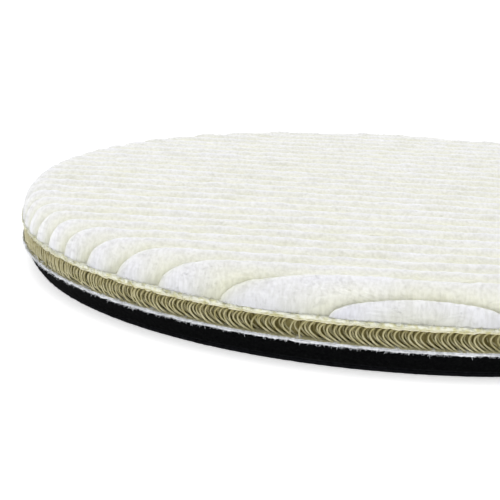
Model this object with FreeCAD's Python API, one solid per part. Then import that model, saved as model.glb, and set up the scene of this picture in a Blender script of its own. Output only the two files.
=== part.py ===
import FreeCAD, Part
import math
import os

# Round polishing pad, lying on its loop backing with the plush face up. Lengths are in
# millimetres. The origin is the centre of the underside, and the rows of pile run along X.

# Radii
FACE_RADIUS = 75.0
BACKING_RADIUS = 71.7
FOAM_FOOT_RADIUS = 72.5
BOND_OVERHANG = 0.2
PILE_ROOT_RADIUS = 74.6
PILE_BULGE = 0.5

# Thickness of each layer, from the underside up
LOOP_NAP = 0.8
LOOP_GROUND = 0.4
FOAM = 3.3
LOWER_BOND = 0.2
SPACER_FACE = 0.25
SPACER_GAP = 2.8
UPPER_BOND = 0.15
PILE_GROUND = 0.5
PILE_HEIGHT = 5.75
NAP_EDGE_ROUNDING = 0.5

# Rows of pile, counted along +Y. The first one is a narrow strip, as most of it lies past the rim
ROW_COUNT = 28
FIRST_ROW_Y = -76.4
ROW_PITCH = 5.5
ROW_GAP = 0.2
ROW_CREST_RISE = 2.4

# Rim of the pile, as heights above the pile's roots
RIM_BULGE_AT = 1.9
RIM_SHOULDER_AT = 3.6
RIM_CREST_INSET = 4.5
RIM_CLEARANCE = 0.4

# Yarn that holds the two mesh faces apart, as curved ribs that lean along X
YARN_PITCH = 1.9
YARN_THICKNESS = 0.3
YARN_LEAN = 1.7
YARN_BOW = 0.45
YARN_RIM_MARGIN = 0.4

Z_NAP_TOP = LOOP_NAP
Z_LOOP_GROUND_TOP = Z_NAP_TOP + LOOP_GROUND
Z_FOAM_TOP = Z_LOOP_GROUND_TOP + FOAM
Z_LOWER_BOND_TOP = Z_FOAM_TOP + LOWER_BOND
Z_LOWER_FACE_TOP = Z_LOWER_BOND_TOP + SPACER_FACE
Z_YARN_TOP = Z_LOWER_FACE_TOP + SPACER_GAP
Z_UPPER_FACE_TOP = Z_YARN_TOP + SPACER_FACE
Z_UPPER_BOND_TOP = Z_UPPER_FACE_TOP + UPPER_BOND
Z_PILE_ROOT = Z_UPPER_BOND_TOP + PILE_GROUND
Z_PILE_TOP = Z_PILE_ROOT + PILE_HEIGHT

X_AXIS = FreeCAD.Vector(1, 0, 0)
Y_AXIS = FreeCAD.Vector(0, 1, 0)
Z_AXIS = FreeCAD.Vector(0, 0, 1)
CENTRE = FreeCAD.Vector(0, 0, 0)


def disc(radius, z_low, z_high):
    """Flat round layer between two heights."""
    return Part.makeCylinder(radius, z_high - z_low, FreeCAD.Vector(0, 0, z_low))


def line(start, end):
    return Part.LineSegment(start, end).toShape()


def arc(start, middle, end):
    return Part.Arc(start, middle, end).toShape()


def loop_nap():
    """Brushed loops of the backing, rounded off at the lower edge."""
    nap = disc(BACKING_RADIUS, 0, Z_NAP_TOP)
    lower_edge = [edge for edge in nap.Edges if edge.BoundBox.ZMax < Z_NAP_TOP / 2]
    return nap.makeFillet(NAP_EDGE_ROUNDING, lower_edge)


def foam_cushion():
    """Foam that widens from the backing up to the full face."""
    foot = FreeCAD.Vector(0, 0, Z_LOOP_GROUND_TOP)
    return Part.makeCone(FOAM_FOOT_RADIUS, FACE_RADIUS, FOAM, foot)


def yarn_rib(x):
    """One course of spacer yarn, from the lower face up to the upper face."""
    outline = []
    for side in (0, YARN_THICKNESS):
        foot = FreeCAD.Vector(x + side + YARN_LEAN, 0, Z_LOWER_FACE_TOP)
        head = FreeCAD.Vector(x + side, 0, Z_YARN_TOP)
        belly = (foot + head) * 0.5 - X_AXIS * YARN_BOW
        outline.append((foot, belly, head))
    near, far = outline
    wire = Part.Wire([
        arc(*near),
        line(near[2], far[2]),
        arc(*reversed(far)),
        line(far[0], near[0]),
    ])
    reach = max(abs(x - YARN_BOW), abs(x + YARN_LEAN + YARN_THICKNESS))
    half_chord = math.sqrt((FACE_RADIUS - YARN_RIM_MARGIN) ** 2 - reach ** 2)
    rib = Part.Face(wire).extrude(Y_AXIS * (2 * half_chord))
    rib.translate(Y_AXIS * -half_chord)
    return rib


def spacer_yarns():
    """All courses of spacer yarn, side by side across the pad."""
    count = int((FACE_RADIUS - YARN_LEAN - YARN_THICKNESS - YARN_RIM_MARGIN) / YARN_PITCH)
    shift = (YARN_LEAN + YARN_THICKNESS) / 2
    ribs = [yarn_rib(index * YARN_PITCH - shift) for index in range(-count, count + 1)]
    return Part.makeCompound(ribs)


def pile_rim():
    """Space that the pile fills: a round cake that bulges at the rim and rolls over at the top."""
    root = FreeCAD.Vector(PILE_ROOT_RADIUS, 0, Z_PILE_ROOT)
    bulge = FreeCAD.Vector(PILE_ROOT_RADIUS + PILE_BULGE, 0, Z_PILE_ROOT + RIM_BULGE_AT)
    shoulder = FreeCAD.Vector(PILE_ROOT_RADIUS + PILE_BULGE / 3, 0, Z_PILE_ROOT + RIM_SHOULDER_AT)
    top = Z_PILE_TOP + RIM_CLEARANCE
    crest = FreeCAD.Vector(PILE_ROOT_RADIUS - RIM_CREST_INSET, 0, top)
    roll = FreeCAD.Vector(
        (2 * shoulder.x + crest.x) / 3,
        0,
        (shoulder.z + 2 * crest.z) / 3,
    )
    centre_top = FreeCAD.Vector(0, 0, top)
    centre_root = FreeCAD.Vector(0, 0, Z_PILE_ROOT)
    wire = Part.Wire([
        line(centre_root, root),
        arc(root, bulge, shoulder),
        arc(shoulder, roll, crest),
        line(crest, centre_top),
        line(centre_top, centre_root),
    ])
    return Part.Face(wire).revolve(CENTRE, Z_AXIS, 360)


def pile_row(index, rim):
    """One row of plush pile: a straight ridge along X with a round crest, cut by the rim."""
    centre_y = FIRST_ROW_Y + index * ROW_PITCH
    half_width = (ROW_PITCH - ROW_GAP) / 2
    reach = PILE_ROOT_RADIUS + PILE_BULGE
    low_left = FreeCAD.Vector(-reach, centre_y - half_width, Z_PILE_ROOT)
    low_right = FreeCAD.Vector(-reach, centre_y + half_width, Z_PILE_ROOT)
    shoulder = Z_AXIS * (PILE_HEIGHT - ROW_CREST_RISE)
    crest = FreeCAD.Vector(-reach, centre_y, Z_PILE_TOP)
    wire = Part.Wire([
        line(low_left, low_right),
        line(low_right, low_right + shoulder),
        arc(low_right + shoulder, crest, low_left + shoulder),
        line(low_left + shoulder, low_left),
    ])
    ridge = Part.Face(wire).extrude(X_AXIS * (2 * reach))
    return ridge.common(rim).Solids[0]


def build():
    """Every piece of the pad, by name."""
    bond_radius = FACE_RADIUS + BOND_OVERHANG
    pieces = {
        "loop_nap": loop_nap(),
        "loop_ground_cloth": disc(BACKING_RADIUS, Z_NAP_TOP, Z_LOOP_GROUND_TOP),
        "foam_cushion": foam_cushion(),
        "lower_bond_web": disc(bond_radius, Z_FOAM_TOP, Z_LOWER_BOND_TOP),
        "spacer_lower_face": disc(FACE_RADIUS, Z_LOWER_BOND_TOP, Z_LOWER_FACE_TOP),
        "spacer_yarns": spacer_yarns(),
        "spacer_upper_face": disc(FACE_RADIUS, Z_YARN_TOP, Z_UPPER_FACE_TOP),
        "upper_bond_web": disc(FACE_RADIUS, Z_UPPER_FACE_TOP, Z_UPPER_BOND_TOP),
        "pile_ground_cloth": disc(bond_radius, Z_UPPER_BOND_TOP, Z_PILE_ROOT),
    }
    rim = pile_rim()
    for index in range(ROW_COUNT):
        pieces[f"pile_row_{index + 1:02d}"] = pile_row(index, rim)
    return pieces


os.makedirs("parts", exist_ok=True)
for name, shape in build().items():
    shape.exportStep(f"parts/{name}.step")
    print(f"{name}: {len(shape.Solids)} solids, valid {shape.isValid()}, {shape.Volume:.0f} mm3")
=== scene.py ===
import math

import bpy
import numpy as np
from mathutils import Matrix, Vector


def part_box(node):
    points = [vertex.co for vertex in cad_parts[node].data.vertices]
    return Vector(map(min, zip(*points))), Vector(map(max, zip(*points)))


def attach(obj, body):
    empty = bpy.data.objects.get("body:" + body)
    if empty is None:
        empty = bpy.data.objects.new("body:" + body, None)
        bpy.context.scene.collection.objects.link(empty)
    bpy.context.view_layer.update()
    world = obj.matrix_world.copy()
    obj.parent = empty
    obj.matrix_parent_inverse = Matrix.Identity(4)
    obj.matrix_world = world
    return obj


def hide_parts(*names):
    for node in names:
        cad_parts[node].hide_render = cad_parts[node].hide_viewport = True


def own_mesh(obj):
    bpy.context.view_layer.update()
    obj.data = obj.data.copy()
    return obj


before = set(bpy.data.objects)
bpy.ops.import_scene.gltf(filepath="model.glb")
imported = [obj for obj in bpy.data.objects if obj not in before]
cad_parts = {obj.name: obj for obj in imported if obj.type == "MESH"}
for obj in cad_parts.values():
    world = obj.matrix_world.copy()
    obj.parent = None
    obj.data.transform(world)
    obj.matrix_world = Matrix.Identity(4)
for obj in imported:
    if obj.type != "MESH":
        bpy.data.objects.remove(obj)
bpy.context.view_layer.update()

# The looks of a round polishing pad: white plush in rows, on cream knit, on a spacer mesh of
# curved yarns, on black foam with a loop backing. Shapes are worked out in millimetres.

MM = 0.001


def box_mm(node):
    """A CAD node's lowest and highest corners in millimetres."""
    low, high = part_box(node)
    return np.array(low) / MM, np.array(high) / MM


# ---------------------------------------------------------------- sizes read from the frame
NAP_LOW, NAP_HIGH = box_mm("loop_nap")
FOAM_LOW, FOAM_HIGH = box_mm("foam_cushion")
WEB_LOW, WEB_HIGH = box_mm("lower_bond_web")
LOWER_LOW, LOWER_HIGH = box_mm("spacer_lower_face")
YARN_LOW, YARN_HIGH = box_mm("spacer_yarns")
UPPER_LOW, UPPER_HIGH = box_mm("spacer_upper_face")
CLOTH_LOW, CLOTH_HIGH = box_mm("pile_ground_cloth")
FACE_RADIUS = UPPER_HIGH[0]
BACKING_RADIUS = NAP_HIGH[0]
PILE_ROOT_Z = CLOTH_HIGH[2]
PILE_ROWS = sorted(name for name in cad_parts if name.startswith("pile_row_"))
HIDDEN_RADIUS = 60.0
TRIM_DEPTH = 1.3
TRIM_SHARPNESS = 5

# ---------------------------------------------------------------- number helpers

HASH_STEPS = (73856093, 19349663, 83492791)
HASH_SEED_STEP = 2654435
HASH_MIX = 1274126177
HASH_TOP = 65535
SEED_SHIFT = 17.13
NEARLY_PARALLEL = 0.9
TURN = 2 * math.pi
UV_MARGIN = 4
WHITE = (1.0, 1.0, 1.0)


def lattice_noise(points, cell, seed):
    """Smooth noise from -1 to 1 at each point. cell is the size of one bump along X, Y and Z."""
    place = points / np.asarray(cell, float) + seed * SEED_SHIFT
    corner = np.floor(place).astype(np.int64)
    part = place - corner
    part = part * part * (3 - 2 * part)
    total = np.zeros(len(points))
    for step_x in (0, 1):
        for step_y in (0, 1):
            for step_z in (0, 1):
                mixed = (
                    (corner[:, 0] + step_x) * HASH_STEPS[0]
                    ^ (corner[:, 1] + step_y) * HASH_STEPS[1]
                    ^ (corner[:, 2] + step_z) * HASH_STEPS[2]
                    ^ seed * HASH_SEED_STEP
                )
                mixed = (mixed ^ (mixed >> 13)) * HASH_MIX
                value = ((mixed ^ (mixed >> 16)) & HASH_TOP) / (HASH_TOP / 2) - 1
                weight = (
                    (part[:, 0] if step_x else 1 - part[:, 0])
                    * (part[:, 1] if step_y else 1 - part[:, 1])
                    * (part[:, 2] if step_z else 1 - part[:, 2])
                )
                total += value * weight
    return total


def rough(points, layers):
    """Layers of noise added up. Each is (depth, size of one bump along X, Y and Z, seed)."""
    return sum(depth * lattice_noise(points, cell, seed) for depth, cell, seed in layers)


def unit(vectors):
    return vectors / np.maximum(np.linalg.norm(vectors, axis=-1, keepdims=True), 1e-9)


def cross_axes(directions, axis):
    """Two unit vectors square to each direction, found with the help of one axis, from 0 to 2."""
    near = np.abs(directions[..., axis:axis + 1]) >= NEARLY_PARALLEL
    side = unit(np.cross(directions, np.where(near, np.eye(3)[0], np.eye(3)[axis])))
    return side, np.cross(directions, side)


def upright(heights):
    """Vectors along +Z of the given heights."""
    return np.stack([0 * heights, 0 * heights, heights], -1)


def round_uv(points, radius):
    """Texture places of points seen from above, for a disc of a radius."""
    return points[:, :2] / (2 * radius + UV_MARGIN) + 0.5


def grid_faces(rows, columns, closed=False):
    """Quads over a grid of points stored row by row. closed joins the last column to the first."""
    row = np.arange(rows - 1)[:, None]
    column = np.arange(columns if closed else columns - 1)[None, :]
    after = (column + 1) % columns
    corners = [row * columns + column, row * columns + after,
               (row + 1) * columns + after, (row + 1) * columns + column]
    return np.stack(corners, -1).reshape(-1, 4)


def grid_normals(grid):
    """Outward unit normals of a grid of points, from its neighbours."""
    along = np.gradient(grid, axis=0)
    across = np.gradient(grid, axis=1)
    return unit(np.cross(along, across))


# ---------------------------------------------------------------- mesh helpers


def join(parts):
    """One (points, faces, uv) out of several, where faces is a list of arrays of corners."""
    points, faces, uv, start = [], [], [], 0
    for part_points, part_faces, part_uv in parts:
        points.append(part_points)
        uv.append(part_uv)
        faces += [face + start for face in part_faces if len(face)]
        start += len(part_points)
    return np.concatenate(points), faces, np.concatenate(uv)


def trimmed(points):
    """The points of a disc cut a little out of round: its -X side is cut in above its foot."""
    side = np.clip(-points[:, :1] / FACE_RADIUS, 0, 1) ** TRIM_SHARPNESS
    raised = np.clip((points[:, 2:] - FOAM_LOW[2]) / (FOAM_HIGH[2] - FOAM_LOW[2]), 0, 1)
    return points + np.array([[TRIM_DEPTH, 0, 0]]) * side * raised


def add_piece(name, shape, material, body, nodes, normals=None):
    """A mesh object from (points in mm, faces, uv) that stands for CAD nodes on a body. normals,
    one for each point, take the place of the mesh's own."""
    points, faces, uv = shape
    points = trimmed(points)
    corners = np.concatenate([face.ravel() for face in faces]).astype(np.int32)
    sizes = np.concatenate([np.full(len(face), face.shape[1]) for face in faces])
    mesh = bpy.data.meshes.new(name)
    mesh.vertices.add(len(points))
    mesh.vertices.foreach_set("co", (points * MM).astype(np.float32).ravel())
    mesh.loops.add(len(corners))
    mesh.loops.foreach_set("vertex_index", corners)
    mesh.polygons.add(len(sizes))
    mesh.polygons.foreach_set("loop_start", (np.cumsum(sizes) - sizes).astype(np.int32))
    mesh.update(calc_edges=True)
    mesh.shade_smooth()
    if normals is not None:
        mesh.normals_split_custom_set_from_vertices(normals.astype(np.float32))
    layer = mesh.uv_layers.new(name="OFBake")
    layer.data.foreach_set("uv", uv[corners].astype(np.float32).ravel())
    mesh.materials.append(material)
    piece = bpy.data.objects.new(name, mesh)
    bpy.context.scene.collection.objects.link(piece)
    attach(piece, body)
    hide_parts(*nodes)
    return piece


FIBRE_SIDES = 3
THIRDS = [corner * TURN / FIBRE_SIDES for corner in range(FIBRE_SIDES)]
MIDDLE_BEND = 0.35
MIDDLE_WIDTH = 0.8


def fibres(roots, directions, lengths, radii, bends, uv):
    """Thin three-sided fibres that taper to a point. Each leans over by its bend vector."""
    count = len(roots)
    directions = unit(directions)
    side, other = cross_axes(directions, 2)
    middle = roots + directions * lengths[:, None] * 0.5 + bends * MIDDLE_BEND
    tip = roots + directions * lengths[:, None] + bends
    rings = []
    for centre, share in ((roots, 1.0), (middle, MIDDLE_WIDTH)):
        for angle in THIRDS:
            offset = side * math.cos(angle) + other * math.sin(angle)
            rings.append(centre + offset * (radii * share)[:, None])
    points = np.stack(rings + [tip], 1).reshape(-1, 3)
    first = np.arange(count)[:, None] * 7
    quads = np.concatenate([first + [[a, (a + 1) % 3, (a + 1) % 3 + 3, a + 3]] for a in range(3)])
    triangles = np.concatenate([first + [[a + 3, (a + 1) % 3 + 3, 6]] for a in range(3)]
                               + [first + [[2, 1, 0]]])
    return points, [quads, triangles], np.repeat(uv, 7, axis=0)


def spikes(roots, directions, lengths, radii, uv):
    """Short straight three-sided spikes, for fibres too fine for their bend to show."""
    directions = unit(directions)
    side, other = (axis * radii[:, None] for axis in cross_axes(directions, 2))
    base = [roots + side * math.cos(angle) + other * math.sin(angle) for angle in THIRDS]
    points = np.stack(base + [roots + directions * lengths[:, None]], 1).reshape(-1, 3)
    first = np.arange(len(roots))[:, None] * 4
    sides = ([0, 1, 3], [1, 2, 3], [2, 0, 3], [2, 1, 0])
    triangles = np.concatenate([first + [corners] for corners in sides])
    return points, [triangles], np.repeat(uv, 4, axis=0)


def tubes(lines, radius, sides):
    """Closed tubes of even radius along lines, an array of (tube, point, 3)."""
    count, length = lines.shape[:2]
    side, other = cross_axes(unit(np.gradient(lines, axis=1)), 1)
    angle = np.arange(sides) * TURN / sides
    ring = side[:, :, None] * np.cos(angle)[:, None] + other[:, :, None] * np.sin(angle)[:, None]
    points = (lines[:, :, None] + ring * radius).reshape(-1, 3)
    quads = grid_faces(length, sides, closed=True)
    first = np.arange(count)[:, None, None] * length * sides
    end = np.arange(sides)[None, None, :]
    caps = np.concatenate([first + end[..., ::-1], first + (length - 1) * sides + end])
    return points, [(quads[None] + first).reshape(-1, 4), caps.reshape(-1, sides)]


# ---------------------------------------------------------------- material helpers


class Nodes:
    """A material's node tree, with short ways to add what these materials need."""

    def __init__(self, name, roughness, specular, sheen=0.0):
        self.material = bpy.data.materials.new(name)
        self.material.use_nodes = True
        self.tree = self.material.node_tree
        self.shader = self.tree.nodes["Principled BSDF"]
        self.shader.inputs["Roughness"].default_value = roughness
        self.shader.inputs["Specular IOR Level"].default_value = specular
        self.shader.inputs["Sheen Weight"].default_value = sheen
        self.place = self.tree.nodes.new("ShaderNodeTexCoord").outputs["Object"]

    def add(self, kind, **values):
        node = self.tree.nodes.new(kind)
        for key, value in values.items():
            setattr(node, key, value)
        return node

    def link(self, source, target):
        self.tree.links.new(source, target)

    def noise(self, scale, detail=3.0, stretch=(1, 1, 1)):
        """Noise output. scale is in bumps per millimetre, and stretch multiplies it by axis."""
        mapping = self.add("ShaderNodeMapping")
        mapping.inputs["Scale"].default_value = [scale * share / MM for share in stretch]
        self.link(self.place, mapping.inputs["Vector"])
        noise = self.add("ShaderNodeTexNoise")
        noise.inputs["Scale"].default_value = 1.0
        noise.inputs["Detail"].default_value = detail
        self.link(mapping.outputs["Vector"], noise.inputs["Vector"])
        return noise.outputs["Fac"]

    def height(self, low, high):
        """0 to 1 between two heights in millimetres."""
        split = self.add("ShaderNodeSeparateXYZ")
        self.link(self.place, split.inputs[0])
        reach = self.add("ShaderNodeMapRange")
        reach.inputs["From Min"].default_value = low * MM
        reach.inputs["From Max"].default_value = high * MM
        self.link(split.outputs["Z"], reach.inputs["Value"])
        return reach.outputs["Result"]

    def cream_and_shade_share(self):
        """The second texture coordinate, which the pile uses to say how much cream and painted shade it
        gets.
        """
        split = self.add("ShaderNodeSeparateXYZ")
        self.link(self.add("ShaderNodeUVMap", uv_map="OFBake").outputs["UV"], split.inputs[0])
        return split.outputs["Y"]

    def ramp(self, factor, stops):
        """Colour along stops of (place, colour)."""
        ramp = self.add("ShaderNodeValToRGB")
        elements = ramp.color_ramp.elements
        while len(elements) < len(stops):
            elements.new(0.5)
        for element, (place, colour) in zip(elements, stops):
            element.position = place
            element.color = (*colour, 1)
        self.link(factor, ramp.inputs["Fac"])
        return ramp.outputs["Color"]

    def multiply(self, first, second, share=1.0):
        """Two colour sockets multiplied, by a share."""
        mix = self.add("ShaderNodeMix", data_type="RGBA", blend_type="MULTIPLY")
        mix.inputs["Factor"].default_value = share
        self.link(first, mix.inputs[6])
        self.link(second, mix.inputs[7])
        return mix.outputs[2]

    def bump(self, height, strength, distance):
        """Bump of a depth in millimetres."""
        bump = self.add("ShaderNodeBump")
        bump.inputs["Strength"].default_value = strength
        bump.inputs["Distance"].default_value = distance * MM
        self.link(height, bump.inputs["Height"])
        self.link(bump.outputs["Normal"], self.shader.inputs["Normal"])

    def colour(self, source):
        self.link(source, self.shader.inputs["Base Color"])


def srgb(red, green, blue):
    """A colour given in screen values from 0 to 255, in linear light."""
    values = np.array([red, green, blue]) / 255
    return tuple(np.where(values <= 0.04045, values / 12.92, ((values + 0.055) / 1.055) ** 2.4))


# ---------------------------------------------------------------- materials

PILE_SHADE_REACH = 4.5
PILE_GLOW_DEPTH = 0.6
YARN_FEET = 0.08


def plush_material():
    """White wool-like pile: white on the crests and at the rim, cream with painted shade down in the
    furrows, and greyer near its foot with painted shade.
    """
    made = Nodes("white_plush", roughness=0.95, specular=0.1, sheen=0.1)
    # Painted shade with cream: the pile's own cream at its roots, darkened with painted shade down in
    # the furrows where less light falls.
    by_depth = made.ramp(made.cream_and_shade_share(), [
        (0.0, srgb(240, 240, 245)),
        (0.12, srgb(239, 239, 237)),
        (0.35, srgb(238, 238, 224)),
        (0.7, srgb(236, 235, 212)),
        (1.0, srgb(218, 216, 182)),
    ])
    patches = made.ramp(made.noise(0.12), [(0.35, srgb(250, 250, 243)), (0.65, WHITE)])
    upright_noise = made.noise(1.8, stretch=(1, 1, 0.25))
    streaks = made.ramp(upright_noise, [(0.35, srgb(243, 243, 241)), (0.6, WHITE)])
    level = made.height(PILE_ROOT_Z, PILE_ROOT_Z + PILE_SHADE_REACH)
    # Painted shade: greyer low down near the pile's foot, where the lobes facing the camera get less
    # light.
    foot = made.ramp(level, [(0.0, srgb(229, 230, 233)), (0.9, WHITE)])
    patchy = made.multiply(by_depth, patches, 0.8)
    made.colour(made.multiply(made.multiply(patchy, streaks), foot))
    made.bump(made.noise(2.6, stretch=(1, 1, 0.22)), 0.45, 0.12)
    made.shader.inputs["Subsurface Weight"].default_value = 1.0
    made.shader.inputs["Subsurface Radius"].default_value = (1.0, 1.0, 1.0)
    made.shader.inputs["Subsurface Scale"].default_value = PILE_GLOW_DEPTH * MM
    return made.material


def cream_material():
    """Cream knit of the plush cloth's edge and the mesh face under it: darker and more olive
    towards the bottom, with faint olive patches at random.
    """
    made = Nodes("cream_knit", roughness=0.9, specular=0.15, sheen=0.2)
    level = made.ramp(made.height(UPPER_LOW[2], CLOTH_HIGH[2]), [
        (0.0, srgb(214, 209, 184)),
        (0.6, srgb(226, 226, 209)),
        (1.0, srgb(236, 237, 226)),
    ])
    grain = made.ramp(made.noise(1.3), [(0.32, srgb(232, 229, 192)), (0.55, WHITE)])
    made.colour(made.multiply(level, grain))
    made.bump(made.noise(6.0), 0.4, 0.08)
    return made.material


def yarn_material():
    """Monofilament: semi-clear olive to cream, a little glossy, darkened with painted shadow near the
    plush.
    """
    made = Nodes("spacer_yarn", roughness=0.42, specular=0.45)
    tone = made.ramp(made.noise(0.9), [(0.3, srgb(163, 156, 110)), (0.7, srgb(205, 200, 168))])
    level = made.height(YARN_LOW[2], YARN_HIGH[2])
    # Painted shadow: the yarns darken towards their tops, in the shadow under the cloth and plush.
    shade = made.ramp(level, [(0.0, WHITE), (1.0, (0.68, 0.65, 0.48))])
    made.colour(made.multiply(tone, shade))
    made.bump(made.noise(8.0), 0.15, 0.02)
    return made.material


def yarn_core_material():
    """The depth of the mesh, where the yarns close up: the yarns' olive, darkened with painted shade."""
    made = Nodes("spacer_depth", roughness=0.8, specular=0.1)
    streaks = made.noise(1.05, detail=2.0, stretch=(1, 1, 0.15))
    # Painted shade: darker olive than the outer yarns, for the shade deep inside the mesh.
    made.colour(made.ramp(streaks, [(0.35, srgb(106, 98, 56)), (0.7, srgb(160, 151, 104))]))
    made.bump(streaks, 0.5, 0.3)
    return made.material


def web_material():
    """White fleece web, faintly blue, with the olive feet of the yarns over its top."""
    made = Nodes("white_web", roughness=0.9, specular=0.15, sheen=0.2)
    fleece = made.ramp(made.noise(2.5), [(0.3, srgb(212, 215, 221)), (0.7, srgb(247, 248, 251))])
    level = made.height(LOWER_HIGH[2] - YARN_FEET, LOWER_HIGH[2])
    feet = made.ramp(level, [(0.2, WHITE), (0.9, srgb(176, 170, 130))])
    made.colour(made.multiply(fleece, feet))
    made.bump(made.noise(5.0), 0.5, 0.1)
    return made.material


def foam_material():
    """Black fine-cell foam."""
    made = Nodes("black_foam", roughness=1.0, specular=0.02)
    cells = made.noise(2.4, detail=4.0)
    made.colour(made.ramp(cells, [(0.35, srgb(3, 3, 4)), (0.7, srgb(11, 12, 12))]))
    made.bump(cells, 0.6, 0.15)
    return made.material


def loop_material():
    """Black brushed nylon loops."""
    made = Nodes("loop_fabric", roughness=0.85, specular=0.05)
    made.colour(made.ramp(made.noise(1.5), [(0.3, srgb(8, 8, 10)), (0.75, srgb(24, 25, 28))]))
    made.bump(made.noise(4.0), 0.5, 0.15)
    return made.material


# ---------------------------------------------------------------- plush pile

# The rim: its radius, how far it falls back between rows, and how wide its rounding is
RIM_RADIUS = box_mm(PILE_ROWS[len(PILE_ROWS) // 2])[1][0] + 0.2
LOBE_DEPTH = 0.8
RIM_ROLL = 4.6
ROLL_PER_HALF = 3.2
RIM_SQUARENESS = 2.3

# The grid of points over one row, and how far neighbouring rows run into each other
RIM_STEPS = 12
ROW_CELL = 0.36
FEWEST_STEPS = 4
WALL_STEPS = 10
TOP_STEPS = 20
ROW_OVERLAP = 0.24
LEAST_REACH = 0.4
LEAST_CROWN = 0.12

# Furrows between the rows, on the top and near the rim: depth, and how much cream and painted shade they
# get
FURROW = 0.85
CREST_SHARE = 0.45
TOP_CREAM_AND_SHADE = 0.36
RIM_FURROW = 1.0
RIM_FURROW_REACH = 8.5
RIM_FADE = 1.3
RIM_CREAM_AND_SHADE = 0.85
WHITER_CREST = 0.85
WHITER_TOP = 0.7

# Unevenness: cell sizes along X, Y and Z, and layers of (depth, cell sizes, seed)
WAVER_CELL = (9, 5, 3)
SWAY_CELL = (16, 9, 3)
SWAY = 0.45
TUFTS = (
    (0.16, (3.0, 1.6, 3.0), 1),
    (0.08, (0.9, 0.9, 3.5), 2),
    (0.05, (0.45, 0.45, 2.6), 3),
)
ROOTED_HEIGHT = 0.8


def furrow(across, from_rim, lift, waver):
    """How far a row's surface drops towards its sides, and how much cream and painted shade it gets
    there, from 0 to 1; the cream is partly the pile's own colour and partly painted shade. Near
    the rim the furrows open wide and deep, and are most cream and most shaded low down, where lift
    is near 0. waver, from -1 to 1, makes them uneven."""
    crest = 1 - np.exp(-(across / CREST_SHARE) ** 2)
    near = np.clip(1 - from_rim / RIM_FURROW_REACH, 0, 1) ** RIM_FADE
    open_side = near * np.abs(across) ** 4
    drop = FURROW * crest * (1 + 0.35 * waver) + RIM_FURROW * open_side * (1 + 0.3 * waver)
    # Painted shade, with the pile's own cream: darker and yellower down in the furrows, and at the rim
    # most of all low down, where less light falls.
    top_cream_and_shade = TOP_CREAM_AND_SHADE * crest * (1 - WHITER_CREST * near)
    rim_cream_and_shade = RIM_CREAM_AND_SHADE * near * np.abs(across) ** 3 * (1 - WHITER_TOP * lift)
    return drop, np.clip(top_cream_and_shade + rim_cream_and_shade, 0, 1)


def row_base(node):
    """The ridge of one row as a grid of points, along X and then up one wall, over and down,
    and how much cream and painted shade each point gets, from 0 to 1."""
    low, high = box_mm(node)
    centre_y = (low[1] + high[1]) / 2
    half = (high[1] - low[1]) / 2 + ROW_OVERLAP
    height = high[2] - PILE_ROOT_Z
    rolled = min(RIM_ROLL, ROLL_PER_HALF * half)
    walls = np.full(WALL_STEPS, 1.0)
    across = np.concatenate([-walls, np.linspace(-1, 1, TOP_STEPS + 1), walls])
    climb = np.concatenate([np.arange(WALL_STEPS) / WALL_STEPS, np.ones(TOP_STEPS + 1),
                            1 - np.arange(1, WALL_STEPS + 1) / WALL_STEPS])
    y = centre_y + across * half
    rim = RIM_RADIUS - LOBE_DEPTH * across ** 4
    reach = np.sqrt(np.maximum(rim ** 2 - y ** 2, LEAST_REACH))
    flat = np.maximum(reach - rolled, 0.0)
    steps = max(int(2 * flat.max() / ROW_CELL), FEWEST_STEPS)
    roll = np.cos(np.linspace(0, math.pi / 2, RIM_STEPS + 1))[:-1]
    left = -flat[None] - (reach - flat)[None] * roll[:, None]
    middle = np.linspace(-1, 1, steps)[:, None] * flat[None]
    right = flat[None] + (reach - flat)[None] * roll[::-1, None]
    x = np.concatenate([left, middle, right])
    y = np.broadcast_to(y, x.shape)
    from_rim = rim[None] - np.hypot(x, y)
    inset = np.clip(from_rim / rolled, 0, 1)
    lift = (1 - (1 - inset) ** RIM_SQUARENESS) ** (1 / RIM_SQUARENESS)
    flat_points = np.stack([x.ravel(), y.ravel(), 0 * x.ravel()], -1)
    waver = lattice_noise(flat_points, WAVER_CELL, 4).reshape(x.shape)
    drop, cream_and_shade = furrow(across[None], from_rim, lift, waver)
    crown = np.maximum(height * lift - drop, LEAST_CROWN)
    sway = lattice_noise(flat_points * [[1, 0.5, 1]], SWAY_CELL, 5).reshape(x.shape)
    y = y + SWAY * sway * climb[None]
    return np.stack([x, y, PILE_ROOT_Z + crown * climb[None]], -1), cream_and_shade


def roughened(grid):
    """The ridge with soft tufts and fine streaks pushed in and out along its normals."""
    flat = grid.reshape(-1, 3)
    free = np.clip((flat[:, 2] - PILE_ROOT_Z) / ROOTED_HEIGHT, 0, 1)
    normals = grid_normals(grid).reshape(-1, 3)
    moved = flat + normals * (rough(flat, TUFTS) * free)[:, None]
    return moved, grid_normals(moved.reshape(grid.shape)).reshape(-1, 3)


# Loose fibres on the pile: how many stand on a square millimetre, and their sizes and lean
FIBRES_ON_TOP = 3.5
FIBRES_MORE_AT_RIM = 3.5
RIM_FIBRES_FROM = 3.5
RIM_FIBRES_FADE = 2.5
BARE_FOOT = 2.5
FIBRE_LENGTHS = (0.2, 0.45)
LONGER_AT_RIM = 1.2
FIBRE_RADII = (0.008, 0.017)
FIBRE_SUNK = 0.08
DROOP = 0.4
DROOP_HEIGHT = 1.6
CLUMP_CELL = (1.6, 1.6, 3.0)
CLUMP_SEEDS = (11, 12, 13)


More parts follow.
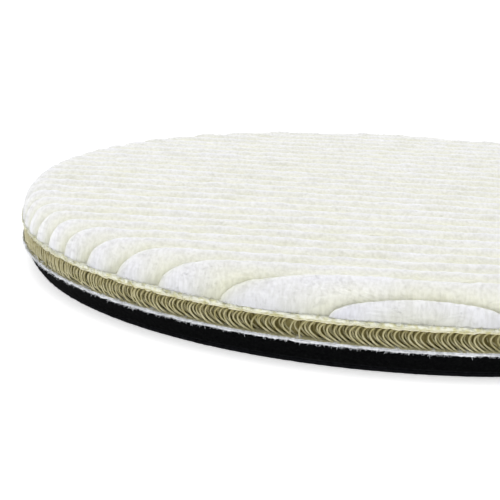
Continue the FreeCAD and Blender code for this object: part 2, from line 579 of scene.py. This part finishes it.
def pile_fibres(corners, normal, uv, rng):
    """Fine fibres that stand on a row's quads, closest together and longest at the rim, and the
    normals of the surface they stand on."""
    middle = corners.mean(1)
    diagonals = np.cross(corners[:, 2] - corners[:, 0], corners[:, 3] - corners[:, 1])
    area = np.linalg.norm(diagonals, axis=1) / 2
    past = np.hypot(middle[:, 0], middle[:, 1]) - (RIM_RADIUS - RIM_FIBRES_FROM)
    at_rim = np.clip(past / RIM_FIBRES_FADE, 0, 1)
    above = np.clip(middle[:, 2] - PILE_ROOT_Z - BARE_FOOT + 2.7 * at_rim, 0, 1)
    wish = area * (FIBRES_ON_TOP + FIBRES_MORE_AT_RIM * at_rim) * above
    count = int(wish.sum())
    chosen = rng.choice(len(corners), count, p=wish / wish.sum())
    weight = rng.dirichlet((1, 1, 1, 1), count)
    roots = (corners[chosen] * weight[..., None]).sum(1)
    at_rim = at_rim[chosen, None]
    outward = normal[chosen]
    clump = np.stack([lattice_noise(roots, CLUMP_CELL, seed) for seed in CLUMP_SEEDS], -1)
    loose = rng.normal(0, 1, (count, 3))
    droop = DROOP * np.clip(1 - (roots[:, 2:] - PILE_ROOT_Z) / DROOP_HEIGHT, 0, 1) * at_rim
    direction = outward - droop * [[0, 0, 1]] + clump * 0.3 + loose * 0.12
    lengths = rng.uniform(*FIBRE_LENGTHS, count) * (1 + LONGER_AT_RIM * at_rim[:, 0])
    radii = rng.uniform(*FIBRE_RADII, count)
    shape = spikes(roots - outward * FIBRE_SUNK, direction, lengths, radii, uv[chosen])
    return shape, np.repeat(outward, 4, axis=0)


def pile_row(node, material, rng):
    """One row of plush: a ridge with a closed underside, and the fibres that stand out of it."""
    grid, cream_and_shade = row_base(node)
    rows, columns = grid.shape[:2]
    points, normals = roughened(grid)
    # The second texture coordinate carries each point's cream and painted shade.
    uv = np.stack([round_uv(points, RIM_RADIUS)[:, 0], cream_and_shade.ravel()], -1)
    faces = grid_faces(rows, columns)
    line = np.arange(rows - 1) * columns
    under = np.stack([line, line + columns, line + 2 * columns - 1, line + columns - 1], -1)
    ends = [np.arange(columns)[None], np.arange(columns)[None, ::-1] + (rows - 1) * columns]
    ridge = (points, [faces[:, ::-1], under[:, ::-1]] + ends, uv)
    quad_normals = unit(normals[faces].mean(1))
    fluff, fluff_normals = pile_fibres(points[faces], quad_normals, uv[faces].mean(1), rng)
    add_piece(f"{node}_plush", join([ridge, fluff]), material, "face", [node],
              np.concatenate([normals, fluff_normals]))


def plush_pile():
    material = plush_material()
    rng = np.random.default_rng(21)
    for node in PILE_ROWS:
        pile_row(node, material, rng)


# ---------------------------------------------------------------- round layers


def still(points):
    return np.zeros(len(points))


def layer_shape(profile, steps, push=still, wave=still):
    """A closed round layer: a ring turned from profile, a list of (radius, z) from the middle of
    the underside round to the middle of the top, moved outward by push(points) and up by
    wave(points)."""
    profile = np.array(profile, float)
    angle = np.arange(steps) * TURN / steps
    around = np.stack([np.cos(angle), np.sin(angle)], -1)
    grid = np.empty((len(profile), steps, 3))
    grid[..., :2] = profile[:, None, :1] * around[None]
    grid[..., 2] = profile[:, None, 1]
    flat = grid.reshape(-1, 3)
    outward = np.concatenate([unit(flat[:, :2]), np.zeros((len(flat), 1))], 1)
    moved = flat + outward * push(flat)[:, None] + upright(wave(flat))
    uv = np.stack([np.tile(angle / TURN, len(profile)),
                   np.repeat(np.linspace(0, 1, len(profile)), steps)], -1)
    faces = grid_faces(len(profile), steps, closed=True)
    caps = [np.arange(steps)[None, ::-1], np.arange(steps)[None] + (len(profile) - 1) * steps]
    return moved, [faces] + caps, uv


def edge_profile(radius, low, high, steps, rounding):
    """Radii and heights up the edge of a layer whose lower and upper corners are rounded."""
    z = np.linspace(low, high, steps)
    middle, half = (low + high) / 2, (high - low) / 2
    share = np.abs((z - middle) / half)
    inset = rounding * (1 - np.sqrt(np.maximum(1 - share ** 4, 0)))
    return list(zip(radius - inset, z))


def with_inner(profile, radius, rings):
    """profile with rings of points added in to a smaller radius under and over it."""
    low_r, low_z = profile[0]
    high_r, high_z = profile[-1]
    start = [(radius + (low_r - radius) * step / rings, low_z) for step in range(rings)]
    end = [(high_r + (radius - high_r) * step / rings, high_z) for step in range(1, rings + 1)]
    return start + profile + end


# Unevenness of the cut edges: layers of (depth, size of one bump along X, Y and Z, seed)
EDGE_WAVES = ((0.09, (1.3, 1.3, 1), 22), (0.06, (0.4, 0.4, 1), 23))
KNIT_BUMPS = ((0.22, (1.1, 1.1, 0.5), 6), (0.10, (0.4, 0.4, 0.3), 7))
FLEECE_BUMPS = ((0.18, (0.9, 0.9, 0.5), 8), (0.10, (0.3, 0.3, 0.25), 9))
EDGE_WIDTH = 1.5

# Stitches round the edge of the knit
STITCH_DEPTH = 0.04
STITCHES = 500
STITCH_HEIGHT = 0.42

# Fuzz on the cut edges
FUZZ_LENGTHS = (0.2, 0.55)
FUZZ_RADII = (0.025, 0.045)
FUZZ_SCATTER = 0.55
FUZZ_BEND = 0.12

# Points round the edge of a knit cloth, of a web, and of a layer that is hidden
KNIT_STEPS = 2600
WEB_STEPS = 2400
FILM_STEPS = 720


def edge_wave(points):
    """Unevenness, up and down, of the cut edge of a cloth."""
    inside = FACE_RADIUS - np.hypot(points[:, 0], points[:, 1])
    return np.clip(1 - inside / EDGE_WIDTH, 0, 1) * rough(points * [[1, 1, 0]], EDGE_WAVES)


def edge_fuzz(count, radius, low, high, outward, upward, rng):
    """Loose fibres round a cut edge, between two heights, that lean out and up by their shares."""
    angle = rng.uniform(0, TURN, count)
    z = rng.uniform(low, high, count)
    around = np.stack([np.cos(angle), np.sin(angle), 0 * angle], -1)
    roots = around * radius + upright(z)
    scatter = rng.normal(0, FUZZ_SCATTER, (count, 3))
    direction = around * outward + np.array([[0, 0, upward]]) + scatter
    uv = np.stack([angle / TURN, np.full(count, 0.5)], -1)
    return fibres(roots, direction, rng.uniform(*FUZZ_LENGTHS, count),
                  rng.uniform(*FUZZ_RADII, count), rng.normal(0, FUZZ_BEND, (count, 3)), uv)


def upper_cloths():
    """The cream cloth that carries the pile, and the mesh face and bond web under it."""
    material = cream_material()
    rng = np.random.default_rng(31)

    def knit(points):
        angle = np.arctan2(points[:, 1], points[:, 0])
        climb = points[:, 2] * TURN / STITCH_HEIGHT + angle * STITCHES / 2
        return STITCH_DEPTH * np.sin(angle * STITCHES) * np.sin(climb) + rough(points, KNIT_BUMPS)

    edge = edge_profile(RIM_RADIUS + 0.05, CLOTH_LOW[2], CLOTH_HIGH[2] + 0.15, 7, 0.15)
    cloth = layer_shape(with_inner(edge, HIDDEN_RADIUS, 3), KNIT_STEPS, knit)
    fuzz = edge_fuzz(5000, RIM_RADIUS, CLOTH_LOW[2], CLOTH_HIGH[2], 0.7, 0.0, rng)
    seam = edge_fuzz(11000, RIM_RADIUS, CLOTH_HIGH[2] - 0.05, CLOTH_HIGH[2] + 0.25, 0.6, -0.3, rng)
    piece = add_piece("plush_cloth", join([cloth, fuzz, seam]), material, "face",
                      ["pile_ground_cloth"])
    edge = edge_profile(FACE_RADIUS - 0.1, UPPER_HIGH[2], CLOTH_LOW[2], 3, 0.05)
    film = layer_shape(with_inner(edge, HIDDEN_RADIUS, 2), FILM_STEPS)
    add_piece("upper_bond_film", film, material, "face", ["upper_bond_web"])
    edge = edge_profile(FACE_RADIUS, UPPER_LOW[2], UPPER_HIGH[2] + 0.1, 5, 0.12)
    mesh_face = layer_shape(with_inner(edge, HIDDEN_RADIUS, 3), KNIT_STEPS, knit, edge_wave)
    piece = add_piece("mesh_upper_face", mesh_face, material, "face",
                      ["spacer_upper_face"])


def lower_cloths():
    """The fuzzy white bond web and the mesh's lower face, seen as one white line."""
    material = web_material()
    rng = np.random.default_rng(41)

    def fleece(points):
        return rough(points, FLEECE_BUMPS)

    edge = edge_profile(FACE_RADIUS + 0.15, WEB_LOW[2] - 0.05, WEB_HIGH[2], 5, 0.08)
    web = layer_shape(with_inner(edge, HIDDEN_RADIUS, 3), WEB_STEPS, fleece, edge_wave)
    fuzz = edge_fuzz(15000, FACE_RADIUS + 0.1, WEB_LOW[2] - 0.08, LOWER_HIGH[2] + 0.1, 0.45, -0.1,
                     rng)
    add_piece("fleece_web", join([web, fuzz]), material, "backing",
              ["lower_bond_web"])
    edge = edge_profile(FACE_RADIUS + 0.05, LOWER_LOW[2], LOWER_HIGH[2], 5, 0.1)
    mesh_face = layer_shape(with_inner(edge, HIDDEN_RADIUS, 3), WEB_STEPS, fleece, edge_wave)
    piece = add_piece("mesh_lower_face", mesh_face, material, "backing",
                      ["spacer_lower_face"])


# ---------------------------------------------------------------- spacer yarns

# One yarn: how far apart they stand, their shape, and how far in from the rim they are made
YARN_PITCH = 0.95
COURSE_PITCH = 0.845
YARN_RADIUS = 0.155
YARN_SIDES = 5
YARN_POINTS = 11
YARN_RING = 2.5
YARN_LEAN = 1.6
YARN_BOW = 0.55
YARN_HOOK = 0.5
CROSSING_SHARE = 0.03
CROSSING_LEAN = -0.3

# The ribbed core that stands for the yarns further in
CORE_RADIUS = FACE_RADIUS - YARN_RING + 0.9
CORE_INNER_RADIUS = 50
CORE_STEPS = 1800
CORE_RIBS = 430
CORE_RIB_DEPTH = 0.25
CORE_BUMPS = ((0.2, (0.9, 0.9, 2), 14),)

# The height of the yarns
YARN_HEIGHT = YARN_HIGH[2] - YARN_LOW[2]


def yarn_lines(rng):
    """The middle lines of the yarns within sight of the rim. They stand in courses along X."""
    steps = int(FACE_RADIUS / YARN_PITCH) + 3
    courses = int(FACE_RADIUS / COURSE_PITCH) + 2
    x, y = np.meshgrid(np.arange(-steps, steps + 1) * YARN_PITCH,
                       np.arange(-courses, courses + 1) * COURSE_PITCH)
    x[::2] += YARN_PITCH / 2
    x, y = x.ravel(), y.ravel()
    x = x + rng.normal(0, 0.07, len(x))
    y = y + rng.normal(0, 0.10, len(y))
    share = np.linspace(0, 1, YARN_POINTS)
    lean = rng.normal(YARN_LEAN, 0.16, len(x))
    lean[rng.random(len(x)) < CROSSING_SHARE] *= CROSSING_LEAN
    bow = rng.normal(YARN_BOW, 0.1, len(x))
    shift = (lean[:, None] * ((1 - share) ** 2 - 0.3) - bow[:, None] * np.sin(math.pi * share)
             + YARN_HOOK * share ** 5)
    lines = np.empty((len(x), len(share), 3))
    lines[..., 0] = x[:, None] + shift
    lines[..., 1] = y[:, None] + rng.normal(0, 0.12, (len(x), 1)) * np.sin(math.pi * share)
    lines[..., 2] = YARN_LOW[2] - 0.05 + share * (YARN_HEIGHT + 0.1)
    radial = np.hypot(lines[..., 0], lines[..., 1])
    kept = (radial.min(1) < FACE_RADIUS - 0.3) & (radial.max(1) > FACE_RADIUS - YARN_RING)
    lines[..., :2] *= np.minimum(1, (FACE_RADIUS - 0.1) / np.maximum(radial, 1))[..., None]
    return lines[kept]


def spacer_filaments():
    """The curved yarns of the mesh near its rim, and the core that they hide."""
    points, faces = tubes(yarn_lines(np.random.default_rng(51)), YARN_RADIUS, YARN_SIDES)
    angle = np.arctan2(points[:, 1], points[:, 0]) / TURN + 0.5
    uv = np.stack([angle, (points[:, 2] - YARN_LOW[2]) / YARN_HEIGHT], -1)
    outer = add_piece("spacer_filaments", (points, faces, uv), yarn_material(), "backing",
                      ["spacer_yarns"])

    def ribs(points):
        angle = np.arctan2(points[:, 1], points[:, 0])
        rib = np.sin(angle * CORE_RIBS + points[:, 2] * 1.6)
        return CORE_RIB_DEPTH * rib + rough(points, CORE_BUMPS)

    edge = edge_profile(CORE_RADIUS, YARN_LOW[2], YARN_HIGH[2], 6, 0.1)
    core = layer_shape(with_inner(edge, CORE_INNER_RADIUS, 2), CORE_STEPS, ribs)
    inner = add_piece("spacer_inner_yarns", core, yarn_core_material(), "backing",
                      ["spacer_yarns"])
    for soft in (outer, inner):
        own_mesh(soft)


# ---------------------------------------------------------------- black backing


FOAM_FOOT_OUT = 0.8
FOAM_INNER_RADIUS = 55
FOAM_STEPS = 2000
FOAM_PORES = ((0.07, (0.6, 0.6, 0.6), 16), (0.05, (0.28, 0.28, 0.28), 17))
NAP_BUMPS = ((0.10, (0.5, 0.5, 0.5), 18), (0.08, (0.22, 0.22, 0.3), 19))
NAP_STEPS = 900
GROUND_STEPS = 1800
LOOP_DEPTH = 0.4
LOOP_YARN = 0.08
LOOP_COUNT = 8500
LOOP_POINTS = 5


def foam():
    """Foam that tapers in towards the backing, with a porous edge."""

    def pores(points):
        return rough(points, FOAM_PORES)

    foot = BACKING_RADIUS + FOAM_FOOT_OUT
    edge = [(foot + (FACE_RADIUS - 0.02 - foot) * share,
             FOAM_LOW[2] + (FOAM_HIGH[2] - FOAM_LOW[2]) * share) for share in np.linspace(0, 1, 16)]
    shape = layer_shape(with_inner(edge, FOAM_INNER_RADIUS, 3), FOAM_STEPS, pores)
    piece = add_piece("foam_taper", shape, foam_material(), "backing",
                      ["foam_cushion"])


def loops(rng):
    """Small loops that stand out of the underside, down to the lowest point of the pad."""
    radius = BACKING_RADIUS * np.sqrt(rng.random(LOOP_COUNT)) * 0.995
    turn = rng.uniform(0, TURN, LOOP_COUNT)
    heading = rng.uniform(0, TURN, LOOP_COUNT)
    bend = np.linspace(0, math.pi, LOOP_POINTS)
    width = rng.uniform(0.35, 0.6, (LOOP_COUNT, 1))
    depth = rng.uniform(0.6, 1.0, (LOOP_COUNT, 1)) * (LOOP_DEPTH - LOOP_YARN)
    lines = np.empty((LOOP_COUNT, LOOP_POINTS, 3))
    along = width * np.cos(bend)
    lines[..., 0] = (radius * np.cos(turn))[:, None] + np.cos(heading)[:, None] * along
    lines[..., 1] = (radius * np.sin(turn))[:, None] + np.sin(heading)[:, None] * along
    lines[..., 2] = NAP_LOW[2] + LOOP_DEPTH - depth * np.sin(bend)
    points, faces = tubes(lines, LOOP_YARN, 3)
    return points, faces, round_uv(points, BACKING_RADIUS)


def loop_backing():
    """The loop nap and its ground cloth."""
    material = loop_material()

    def nap(points):
        return rough(points, NAP_BUMPS)

    level = NAP_LOW[2] + LOOP_DEPTH
    under = [(radius, level) for radius in np.linspace(3, BACKING_RADIUS - 2.5, 30)]
    edge = edge_profile(BACKING_RADIUS, NAP_LOW[2] + 0.04, NAP_HIGH[2], 7, 0.3)
    disc = layer_shape(under + edge + [(3, NAP_HIGH[2])], NAP_STEPS, nap)
    add_piece("loop_nap_disc", join([disc, loops(np.random.default_rng(61))]), material,
              "backing", ["loop_nap"])
    edge = edge_profile(BACKING_RADIUS + 0.1, NAP_HIGH[2], FOAM_LOW[2], 4, 0.06)
    ground = layer_shape(with_inner(edge, FOAM_INNER_RADIUS, 2), GROUND_STEPS, nap)
    piece = add_piece("loop_ground", ground, material, "backing",
                      ["loop_ground_cloth"])


# ---------------------------------------------------------------- floor, light and camera

TABLE_HALF = 3.0
TABLE_GLOW = 0.53
TABLE_DROP = 0.00005


def floor():
    """A pale table top lit a little from beneath, as for product photographs."""
    mesh = bpy.data.meshes.new("floor")
    corners = [(x * TABLE_HALF, y * TABLE_HALF, 0) for x, y in ((-1, -1), (1, -1), (1, 1), (-1, 1))]
    mesh.from_pydata(corners, [], [(0, 1, 2, 3)])
    made = Nodes("floor_paper", roughness=1.0, specular=0.0)
    paper = [(0.0, (0.955, 0.955, 0.957)), (1.0, (0.965, 0.965, 0.965))]
    made.colour(made.ramp(made.noise(0.01), paper))
    made.shader.inputs["Emission Color"].default_value = (1, 1, 1, 1)
    made.shader.inputs["Emission Strength"].default_value = TABLE_GLOW
    mesh.materials.append(made.material)
    ground = bpy.data.objects.new("floor", mesh)
    ground.location.z = -TABLE_DROP
    bpy.context.scene.collection.objects.link(ground)


def looking(place, target, roll):
    """World matrix of something at place that looks at target, rolled clockwise by an angle."""
    place, target = np.array(place, float), np.array(target, float)
    forward = unit(target - place)
    right = unit(np.cross(forward, [0, 0, 1.0]))
    up = np.cross(right, forward)
    rolled_right = math.cos(roll) * right + math.sin(roll) * up
    rolled_up = math.cos(roll) * up - math.sin(roll) * right
    matrix = np.eye(4)
    matrix[:3, 0], matrix[:3, 1], matrix[:3, 2], matrix[:3, 3] = rolled_right, rolled_up, -forward, place
    return Matrix(matrix.tolist())


LAMP_PLACE = (-0.15, 0.35, 0.6)
LAMP_WIDTH = 0.6
LAMP_POWER = 0.5


def studio():
    """Even white light from all round, and a weak soft lamp above and behind the pad."""
    world = bpy.data.worlds.new("studio")
    world.use_nodes = True
    world.node_tree.nodes["Background"].inputs["Color"].default_value = (1, 1, 1, 1)
    world.node_tree.nodes["Background"].inputs["Strength"].default_value = 1.0
    bpy.context.scene.world = world
    data = bpy.data.lights.new("top_soft", "AREA")
    data.shape = "DISK"
    data.size = LAMP_WIDTH
    data.energy = LAMP_POWER
    lamp = bpy.data.objects.new("top_soft", data)
    lamp.matrix_world = looking(LAMP_PLACE, (0, 0, 0), 0.0)
    bpy.context.scene.collection.objects.link(lamp)
    bpy.context.scene.view_settings.view_transform = "Standard"


CAMERA_AZIMUTH = math.radians(3.5)
CAMERA_DISTANCE = 3.438 * FACE_RADIUS
CAMERA_RISE = 0.786 * FACE_RADIUS
CAMERA_YAW = -0.1154
CAMERA_PITCH = 0.2416
CAMERA_ROLL = 0.0439
CAMERA_LENS = 94.5
CAMERA_SENSOR = 36.0
CAMERA_CLIP = 0.01


def camera():
    """The camera looks along +Y from a little above the pad, and to the left of its centre."""
    place = np.array([-math.sin(CAMERA_AZIMUTH) * CAMERA_DISTANCE,
                      -math.cos(CAMERA_AZIMUTH) * CAMERA_DISTANCE,
                      FOAM_HIGH[2] + CAMERA_RISE])
    yaw = CAMERA_YAW + CAMERA_AZIMUTH
    level = math.cos(CAMERA_PITCH)
    forward = np.array([math.sin(yaw) * level, math.cos(yaw) * level, -math.sin(CAMERA_PITCH)])
    data = bpy.data.cameras.new("camera")
    data.lens = CAMERA_LENS
    data.sensor_width = CAMERA_SENSOR
    data.clip_start = CAMERA_CLIP
    view = bpy.data.objects.new("camera", data)
    view.matrix_world = looking(place * MM, (place + forward) * MM, CAMERA_ROLL)
    bpy.context.scene.collection.objects.link(view)
    bpy.context.scene.camera = view


plush_pile()
upper_cloths()
lower_cloths()
spacer_filaments()
foam()
loop_backing()
floor()
studio()
camera()
